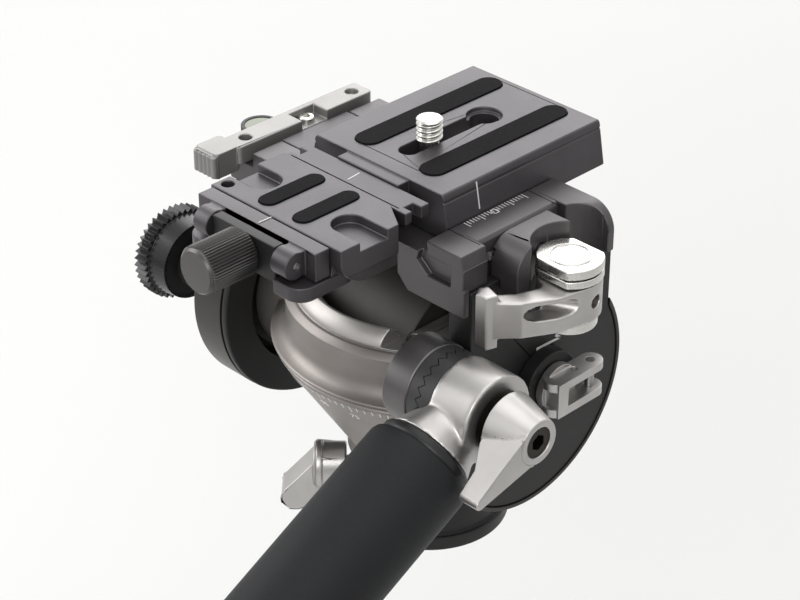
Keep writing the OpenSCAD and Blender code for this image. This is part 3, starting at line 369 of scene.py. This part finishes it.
def rounded(node, width):
    draft = drafted(node, merged(node))
    smooth(draft.data, 180)
    bevel = draft.modifiers.new("edge", "BEVEL")
    bevel.width = width * MM
    bevel.segments = 2
    bevel.limit_method = "ANGLE"
    bevel.angle_limit = SHARP_EDGE
    bevel.use_clamp_overlap = False
    if node in RINGED:
        rejoin = draft.modifiers.new("rejoin", "DECIMATE")
        rejoin.decimate_type = "DISSOLVE"
        rejoin.angle_limit = FLAT
    weigh = draft.modifiers.new("flat_faces", "WEIGHTED_NORMAL")
    weigh.weight = 100
    mesh = settle(draft)
    mesh.materials.clear()
    mesh.materials.append(frame["nodes"][node].data.materials[0])
    piece(node + "_edge", mesh, BODY[node], [node])


for width, nodes in CHAMFER.items():
    for node in nodes.split():
        rounded(node, width)

# %% [markdown]
# The handle's clamp and the cam lever are cast and tumbled: their hub, neck and arm flow into each other.
# A bevel can't give that, because it only trims edges. A voxel remesh joins each copy into one even skin,
# and a few rounds of smoothing melt the inner corners.

# %% Flowing castings


def flowing(node, voxel, rounds):
    draft = drafted(node, merged(node))
    remesh = draft.modifiers.new("skin", "REMESH")
    remesh.mode = "VOXEL"
    remesh.voxel_size = voxel * MM
    relax = draft.modifiers.new("melt", "SMOOTH")
    relax.factor = 0.5
    relax.iterations = rounds
    mesh = settle(draft)
    smooth(mesh, 80)
    mesh.materials.clear()
    mesh.materials.append(FINISH[SLOT[node]])
    piece(node + "_cast", mesh, BODY[node], [node])
    print(node, "faces", len(mesh.polygons))


flowing("handle_clamp", 0.4, 14)
flowing("clamp_lever", 0.3, 6)

# %% [markdown]
# Turned parts are made by spinning a profile: a list of radius and height pairs in millimetres, from one end to
# the other. The camera screw is turned too, but its thread is a ridge that climbs by one pitch in each turn,
# so every ring of points has its own radius at every angle.

# %% Turned parts and the camera screw
SCREW_Y = -0.5
PITCH, THREAD_LENGTH, THREAD_R, THREAD_DEPTH = 1.27, 5.5, 3.17, 0.55
ROW_STEP = 0.06


def placed(x, y, z, along):
    turn = Vector((0, 0, 1)).rotation_difference(Vector(along).normalized()).to_matrix().to_4x4()
    return Matrix.Translation((x * MM, y * MM, z * MM)) @ turn


def built(name, points, faces, finish, body, sharp, stands_for=()):
    mesh = bpy.data.meshes.new(name)
    mesh.from_pydata(points, [], faces)
    bm = bmesh.new()
    bm.from_mesh(mesh)
    bmesh.ops.recalc_face_normals(bm, faces=bm.faces)
    bm.to_mesh(mesh)
    bm.free()
    smooth(mesh, sharp)
    mesh.materials.append(FINISH[finish])
    piece(name, mesh, body, stands_for)


def turned(name, profile, place, finish, body, stands_for=(), sides=72, ripple=None, sharp=40):
    points, faces = [], []
    for r, h in profile:
        for k in range(sides):
            a = 2 * pi * k / sides
            q = r + (ripple(a, r, h) if ripple else 0)
            points.append(place @ Vector((q * cos(a) * MM, q * sin(a) * MM, h * MM)))
    for i in range(len(profile) - 1):
        for k in range(sides):
            n = (k + 1) % sides
            faces.append((i * sides + k, i * sides + n, (i + 1) * sides + n, (i + 1) * sides + k))
    faces.append(tuple(reversed(range(sides))))
    last = (len(profile) - 1) * sides
    faces.append(tuple(range(last, last + sides)))
    built(name, points, faces, finish, body, sharp, stands_for)


top_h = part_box("camera_screw")[1].z / MM
thread_h = top_h - THREAD_LENGTH


def ridge(angle, r, h):
    if h < thread_h or h > top_h - 0.35:
        return 0
    wave = ((h - thread_h) / PITCH - angle / (2 * pi)) % 1
    return -THREAD_DEPTH * min(1, max(0, abs(wave - 0.5) * 3.2 - 0.3))


rows = [thread_h + ROW_STEP * i for i in range(int(THREAD_LENGTH / ROW_STEP) + 1)]
screw = [(5.6, 93.9), (6.0, 94.3), (6.0, 96.6), (5.7, 96.9), (2.3, 96.92), (2.3, thread_h - 0.02)]
screw += [(THREAD_R, h) for h in rows if h <= top_h - 0.3] + [(2.9, top_h - 0.12), (2.6, top_h)]
turned("threaded_screw", screw, placed(0, SCREW_Y, 0, (0, 0, 1)), "bright_metal", "screw",
       ["camera_screw"], sides=64, ripple=ridge, sharp=50)
print("thread turns:", round(THREAD_LENGTH / PITCH, 1))

# %% [markdown]
# The knob at the rear is turned as well, and its rim carries fifty-two fine ridges. A ripple on the rim's rings
# makes them without a separate cut. A dark threaded ring fills the gap between the handle's clamp and its wing lever.

# %% Rear knob and threaded ring
RIDGES, RIDGE_DEPTH = 52, 0.4
HUB = (45.0, -33.0, 67.5)
RING_X, RING_R, RING_BORE, RING_STEP = 53.7, 7.3, 5.2, 0.22
low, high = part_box("rear_knob")
knob_r, knob_len = (high.x - low.x) / 2 / MM, (high.y - low.y) / MM


def ridged(angle, r, h):
    return -RIDGE_DEPTH * (0.5 - 0.5 * cos(RIDGES * angle)) if r > knob_r - 0.1 else 0


def centre_mm(low, high):
    return [(a + b) / 2 / MM for a, b in zip(low, high)]


knob = [(0.05, 0), (knob_r - 0.95, 0), (knob_r - 0.45, 0.5), (knob_r - 0.42, 0.8), (knob_r, 0.95),
        (knob_r, knob_len - 0.7), (knob_r - 0.6, knob_len), (2.6, knob_len)]
x, _, z = centre_mm(low, high)
turned("ridged_knob", knob, placed(x, low.y / MM, z, (0, 1, 0)), "knob_metal", "knob",
       ["rear_knob"], sides=360, ripple=ridged, sharp=30)
ring = [(RING_BORE, 0.3)] + [(RING_R - 0.35 * (k % 2), 0.3 + RING_STEP * k) for k in range(9)] + [(RING_BORE, 2.06)]
turned("stud_ring", ring, placed(RING_X, HUB[1], HUB[2], (1, 0, 0)), "screw_black", "wing",
       sides=64, sharp=30)
print("knob radius", round(knob_r, 2), "mm")

# %% [markdown]
# Two small things catch the eye on the left: the socket screw in the release bar's pocket, whose six-sided hole
# comes from a ripple on the inner rings, and the bubble of the level, a low dome that lies on the glass.

# %% Socket screw and bubble
HEX = 1.1
BAR_SCREW, POCKET = (-40.4, -2.4), 2.4
BUBBLE_DRIFT = 0.3


def six_sided(angle, r, h):
    return HEX * (cos(pi / 6) / cos(angle % (pi / 3) - pi / 6) - 1) if r == HEX else 0


bar_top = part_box("release_bar")[1].z / MM
socket = [(0.02, -0.1), (2.0, -0.1), (2.0, 0.9), (1.75, 1.15), (HEX, 1.15), (HEX, 0.3), (0.02, 0.3)]
turned("bar_screw", socket, placed(*BAR_SCREW, bar_top - POCKET, (0, 0, 1)), "bright_metal", "release",
       sides=48, ripple=six_sided, sharp=30)
low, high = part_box("level_vial")
x, y, _ = centre_mm(low, high)
bubble = [(0.02, -0.05), (1.3, -0.05), (1.25, 0.03), (0.9, 0.1), (0.02, 0.13)]
turned("level_bubble", bubble, placed(x + BUBBLE_DRIFT, y, high.z / MM, (0, 0, 1)), "white_ink", "tilt",
       sides=40)
print("screw and bubble on", BODY["release_bar"], "and", BODY["level_vial"])

# %% [markdown]
# The grip is a thick rubber sleeve over a tube. A hard black collar closes its upper end, and the sleeve swells
# a little behind it before it runs straight. Both are turned about the handle's own line, which falls backwards.
# The heights are counted from the grip's two ends.

# %% Grip
DROP = radians(27.8)
GRIP_FROM, GRIP_TO = 14.2, 205.0
GRIP_R, GRIP_BORE = 13, 7.6
handle_line = placed(*HUB, (0, -cos(DROP), -sin(DROP)))
collar = [(GRIP_BORE, 0), (10.6, 0), (11.2, 0.3), (11.6, 0.9), (11.6, 2.3), (11.4, 2.55), (GRIP_BORE, 2.55)]
turned("grip_collar", [(r, GRIP_FROM + h) for r, h in collar], handle_line, "collar_plastic", "handle",
       sides=96)
sleeve = [(GRIP_BORE, 2.6), (12.0, 2.6), (12.5, 3.1), (12.9, 4.2)] + [(GRIP_R, 5.2 + 4 * i) for i in range(44)]
end = [(GRIP_R, -5), (12.7, -3.4), (12.1, -2), (10.9, -0.7), (9.6, 0), (0.02, 0)]
turned("grip_sleeve", [(r, GRIP_FROM + h) for r, h in sleeve] + [(r, GRIP_TO + h) for r, h in end], handle_line,
       "grip_rubber", "handle", ["handle_grip"], sides=96)
print("grip length", GRIP_TO - GRIP_FROM, "mm")

# %% [markdown]
# Two toothed rings lock the handle's angle. Seen from outside, their teeth leave a zigzag line round the joint.
# Each ring is a short tube whose inner end rises and falls, and the two stand in step, so that the crests of one
# face the valleys of the other.

# %% Toothed rings
TEETH, TOOTH_LIFT, HALF_GAP = 24, 0.7, 0.14
TOOTH_R, ROOT_R, BORE_R = 10.3, 7.2, 4.3


def toothed(name, node, x_flat, x_mid, body):
    steps = TEETH * 2
    points, faces = [], []
    for k in range(steps):
        a = 2 * pi * k / steps
        x_tooth = x_mid + (TOOTH_LIFT if k % 2 else -TOOTH_LIFT)
        section = ((TOOTH_R, x_flat), (TOOTH_R, x_tooth), (ROOT_R, x_mid), (BORE_R, x_mid), (BORE_R, x_flat))
        for r, x in section:
            points.append((x * MM, (HUB[1] + r * cos(a)) * MM, (HUB[2] + r * sin(a)) * MM))
    for k in range(steps):
        n = (k + 1) % steps
        for c in range(5):
            d = (c + 1) % 5
            faces.append((k * 5 + c, n * 5 + c, n * 5 + d, k * 5 + d))
    built(name, points, faces, "tooth_plastic", body, 20, [node])


fixed_low, fixed_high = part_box("fixed_rosette")
turn_low, turn_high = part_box("handle_rosette")
middle = (fixed_high.x + turn_low.x) / 2 / MM
toothed("fixed_teeth", "fixed_rosette", fixed_low.x / MM, middle - HALF_GAP, "tilt")
toothed("turning_teeth", "handle_rosette", turn_high.x / MM, middle + HALF_GAP, "handle")
print("teeth", TEETH)

# %% [markdown]
# Scales are rows of the same small bar. Geometry Nodes lay the bars out, because a change of count or step is then
# one number. A tree holds its sizes as named inputs, which are set by their identifiers. It ends in Realize
# Instances and Set Material, and the result becomes a plain mesh before it rides on its body.

# %% Tools for node trees
FLOAT, INT = "NodeSocketFloat", "NodeSocketInt"
BAR_INPUTS = [("Count", INT), ("Step", FLOAT), ("Length", FLOAT), ("Long", FLOAT), ("Width", FLOAT), ("Height", FLOAT)]


def new_tree(name, sizes):
    tree = bpy.data.node_groups.new(name, "GeometryNodeTree")
    tree.interface.new_socket("Geometry", in_out="OUTPUT", socket_type="NodeSocketGeometry")
    for label, kind in sizes:
        tree.interface.new_socket(label, in_out="INPUT", socket_type=kind)
    return tree, tree.nodes.new("NodeGroupInput"), tree.nodes.new("NodeGroupOutput")


def finish_tree(tree, source, out, finish):
    real = tree.nodes.new("GeometryNodeRealizeInstances")
    paint = tree.nodes.new("GeometryNodeSetMaterial")
    paint.inputs["Material"].default_value = FINISH[finish]
    tree.links.new(source, real.inputs[0])
    tree.links.new(real.outputs[0], paint.inputs["Geometry"])
    tree.links.new(paint.outputs[0], out.inputs["Geometry"])


def grown(name, tree, values, body, place):
    draft = drafted(name, bpy.data.meshes.new(name))
    maker = draft.modifiers.new("grow", "NODES")
    maker.node_group = tree
    for item in tree.interface.items_tree:
        if item.in_out == "INPUT" and item.name in values:
            maker[item.identifier] = values[item.name]
    mesh = settle(draft)
    mesh.transform(place)
    piece(name, mesh, body)
    print(name, "faces", len(mesh.polygons))


print("inputs of a row:", [label for label, kind in BAR_INPUTS])

# %% [markdown]
# The clamp's right jaw has a straight scale of white bars, and every fifth bar is longer. A bar is a unit cube that
# starts at its point. The index, counted in fives, picks its length, and the row's points stand along Y.

# %% Row of bars on the jaw
LONG_EVERY = 5


def bar(tree):
    cube = tree.nodes.new("GeometryNodeMeshCube")
    cube.inputs["Size"].default_value = (1, 1, 1)
    push = tree.nodes.new("GeometryNodeTransform")
    push.inputs["Translation"].default_value = (0.5, 0, 0)
    tree.links.new(cube.outputs[0], push.inputs["Geometry"])
    return push.outputs[0]


def bar_sizes(tree, given):
    link = tree.links.new
    index = tree.nodes.new("GeometryNodeInputIndex")
    wrap = maths(tree, "MODULO", LONG_EVERY)
    short = maths(tree, "GREATER_THAN", 0.5)
    mix = tree.nodes.new("ShaderNodeMix")
    size = tree.nodes.new("ShaderNodeCombineXYZ")
    link(index.outputs[0], wrap.inputs[0])
    link(wrap.outputs[0], short.inputs[0])
    link(short.outputs[0], mix.inputs["Factor"])
    link(given.outputs["Long"], mix.inputs["A"])
    link(given.outputs["Length"], mix.inputs["B"])
    link(mix.outputs["Result"], size.inputs[0])
    link(given.outputs["Width"], size.inputs[1])
    link(given.outputs["Height"], size.inputs[2])
    return size.outputs[0]


def row_tree(finish):
    tree, given, out = new_tree("scale_row", BAR_INPUTS)
    link = tree.links.new
    line = tree.nodes.new("GeometryNodeMeshLine")
    offset = tree.nodes.new("ShaderNodeCombineXYZ")
    spread = tree.nodes.new("GeometryNodeInstanceOnPoints")
    link(given.outputs["Step"], offset.inputs[1])
    link(given.outputs["Count"], line.inputs["Count"])
    link(offset.outputs[0], line.inputs["Offset"])
    link(line.outputs[0], spread.inputs["Points"])
    link(bar(tree), spread.inputs["Instance"])
    link(bar_sizes(tree, given), spread.inputs["Scale"])
    finish_tree(tree, spread.outputs[0], out, finish)
    return tree


jaw_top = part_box("scale_jaw")[1].z
jaw_row = {"Count": 21, "Step": 0.95 * MM, "Length": 1.5 * MM, "Long": 2.3 * MM, "Width": 0.2 * MM, "Height": 0.06 * MM}
grown("jaw_scale", row_tree("white_ink"), jaw_row, "tilt",
      Matrix.Translation((22.95 * MM, -12.6 * MM, jaw_top)))

# %% [markdown]
# The pan scale runs round the cone under the bowl's lip. Its tree sets the same bars round a circle and leans them
# to the cone's slope. The side plates cut into the cone, so a comparison of X keeps only the bars whose place
# still has metal under it.

# %% Ring of bars on the cone
LEAN = 122.5
BARS = 120
RING_INPUTS = BAR_INPUTS + [("Radius", FLOAT), ("Lean", FLOAT), ("Middle", FLOAT), ("Half", FLOAT)]


def ring_tree(finish):
    tree, given, out = new_tree("scale_ring", RING_INPUTS)
    link = tree.links.new
    circle = tree.nodes.new("GeometryNodeMeshCircle")
    index = tree.nodes.new("GeometryNodeInputIndex")
    angle = maths(tree, "MULTIPLY")
    turn = tree.nodes.new("ShaderNodeCombineXYZ")
    where = tree.nodes.new("GeometryNodeInputPosition")
    split = tree.nodes.new("ShaderNodeSeparateXYZ")
    on_cone = maths(tree, "COMPARE")
    spread = tree.nodes.new("GeometryNodeInstanceOnPoints")
    link(where.outputs[0], split.inputs[0])
    link(split.outputs["X"], on_cone.inputs[0])
    link(given.outputs["Middle"], on_cone.inputs[1])
    link(given.outputs["Half"], on_cone.inputs[2])
    link(on_cone.outputs[0], spread.inputs["Selection"])
    link(given.outputs["Count"], circle.inputs["Vertices"])
    link(given.outputs["Radius"], circle.inputs["Radius"])
    link(index.outputs[0], angle.inputs[0])
    link(given.outputs["Step"], angle.inputs[1])
    link(given.outputs["Lean"], turn.inputs[1])
    link(angle.outputs[0], turn.inputs[2])
    link(circle.outputs[0], spread.inputs["Points"])
    link(bar(tree), spread.inputs["Instance"])
    link(turn.outputs[0], spread.inputs["Rotation"])
    link(bar_sizes(tree, given), spread.inputs["Scale"])
    finish_tree(tree, spread.outputs[0], out, finish)
    return tree


pan_ring = {
    "Count": BARS, "Step": 2 * pi / BARS, "Length": 1.8 * MM, "Long": 3.0 * MM, "Width": 0.25 * MM,
    "Height": 0.06 * MM, "Radius": 37.94 * MM, "Lean": radians(LEAN), "Middle": -2.4 * MM, "Half": 29.6 * MM,
}
grown("pan_scale", ring_tree("white_ink"), pan_ring, "pan", Matrix.Translation((0, 0, 51.7 * MM)))

# %% [markdown]
# Every fifteen degrees the pan scale has a plain number, again only where the cone isn't cut away. Each is typed as
# a text curve, made a mesh, and then laid on the cone by a matrix whose columns are the reading direction,
# the upward direction and the cone's normal.

# %% Numbers of the pan scale
NUMBERS, NUMBER_SIZE, NUMBER_R, NUMBER_Z = 24, 2.6, 35.05, 47.1
CONE_FROM, CONE_TO = -18, 26
INK_HALF = 0.04


def lettering(text):
    curve = bpy.data.curves.new("number", "FONT")
    curve.body = text
    curve.size = NUMBER_SIZE * MM
    curve.extrude = INK_HALF * MM
    curve.align_x = "CENTER"
    curve.align_y = "CENTER"
    return settle(drafted("number", curve))


tip = radians(LEAN - 90)
gathered = bmesh.new()
for k in range(NUMBERS):
    a = -2 * pi * k / NUMBERS
    if not CONE_FROM < NUMBER_R * cos(a) < CONE_TO:
        continue
    mesh = lettering(str(360 // NUMBERS * k))
    out = Vector((cos(a) * cos(tip), sin(a) * cos(tip), -sin(tip)))
    up = Vector((cos(a) * sin(tip), sin(a) * sin(tip), cos(tip)))
    columns = (up.cross(out), up, out)
    place = Matrix.Translation((NUMBER_R * MM * cos(a), NUMBER_R * MM * sin(a), NUMBER_Z * MM))
    mesh.transform(place @ Matrix(columns).transposed().to_4x4())
    gathered.from_mesh(mesh)
numbers = bpy.data.meshes.new("pan_numbers")
gathered.to_mesh(numbers)
gathered.free()
numbers.materials.clear()
numbers.materials.append(FINISH["white_ink"])
piece("pan_numbers", numbers, "pan")
print("pan numbers:", len(numbers.polygons), "faces")

# %% [markdown]
# The last marks are single strokes: index lines that meet when the plate sits in the middle, an arrow for the
# locking direction, and the fine dark seams where one machined block meets the next. Each stroke is a thin box
# half sunk in its face, which stays crisp at any distance, where a painted texture would blur.

# %% Index lines and seams
UP, RIGHT = (0, 0, 1), (1, 0, 0)
INK_LIFT, SEAM_LIFT = 0.05, 0.03
PLATE_HALF, PLATE_TOP, PLATE_FLARE = 20.9, 104.5, 0.1786
HOOP_X, HOOP_Y, HOOP_R, HOOP_STEPS = 24.2, -3.7, 0.9, 24
BOX_FACES = ((3, 2, 1, 0), (4, 5, 6, 7), (0, 1, 5, 4), (1, 2, 6, 5), (2, 3, 7, 6), (3, 0, 4, 7))


def strokes(name, lines, width, finish, body, lift):
    points, faces = [], []
    for start, end, normal in lines:
        a, b, n = Vector(start), Vector(end), Vector(normal).normalized()
        side = (b - a).cross(n).normalized() * width / 2
        base = len(points)
        for h in (-lift, lift):
            points += [(p + side * k + n * h) * MM for p, k in ((a, -1), (b, -1), (b, 1), (a, 1))]
        faces += [tuple(base + i for i in face) for face in BOX_FACES]
    built(name, points, faces, finish, body, 20)


top = {node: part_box(node)[1].z / MM for node in ("scale_jaw", "rear_bridge", "rear_jaw")}
jaw_z, bridge_z, rear_z = top["scale_jaw"], top["rear_bridge"], top["rear_jaw"]
slope = [(PLATE_HALF + PLATE_FLARE * (PLATE_TOP - z), -6.6, z) for z in (104.0, 97.5)]
turns = [2 * pi * k / HOOP_STEPS for k in range(HOOP_STEPS + 1)]
hoop = [(HOOP_X + HOOP_R * cos(t), HOOP_Y + HOOP_R * sin(t), jaw_z) for t in turns]
arrow = [(35, 0, 62.5), (35, 8.2, 62.2), (35, 6.6, 63.5)]
marks = [
    ("bridge_index", [((-0.7, -26, bridge_z), (-1.1, -22, bridge_z), UP)], 0.28, BODY["rear_bridge"]),
    ("jaw_index", [((0.7, -54.2, rear_z), (0.8, -50.6, rear_z), UP)], 0.28, BODY["rear_jaw"]),
    ("plate_index", [(slope[0], slope[1], (1, 0, PLATE_FLARE))], 0.35, "plate"),
    ("scale_ring_mark", [(p, q, UP) for p, q in zip(hoop, hoop[1:])], 0.2, "tilt"),
    ("lock_arrow", [(p, q, RIGHT) for p, q in zip(arrow, arrow[1:])], 0.7, "tilt"),
]
block_ends = [((21.4, -17.1, jaw_z), (32.4, -17.1, jaw_z), UP), ((21.0, 9.0, jaw_z), (33.0, 8.7, jaw_z), UP)]
seams = [
    ("block_seams", block_ends, 0.22, "tilt"),
    ("base_seam", [((-18.4, -27.2, bridge_z), (17.0, -27.2, bridge_z), UP)], 0.3, BODY["rear_base"]),
]
for name, lines, width, body in marks:
    strokes(name, lines, width, "white_ink", body, INK_LIFT)
for name, lines, width, body in seams:
    strokes(name, lines, width, "seam_black", body, SEAM_LIFT)
print("marks:", [name for name, *_ in marks + seams])

# %% [markdown]
# The size of everything shown, without the floor, is printed. The pieces must not reach
# past the solids they dress.

# %% Size of everything shown
low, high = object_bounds()
print("size", [round(b - a, 4) for a, b in zip(low, high)])
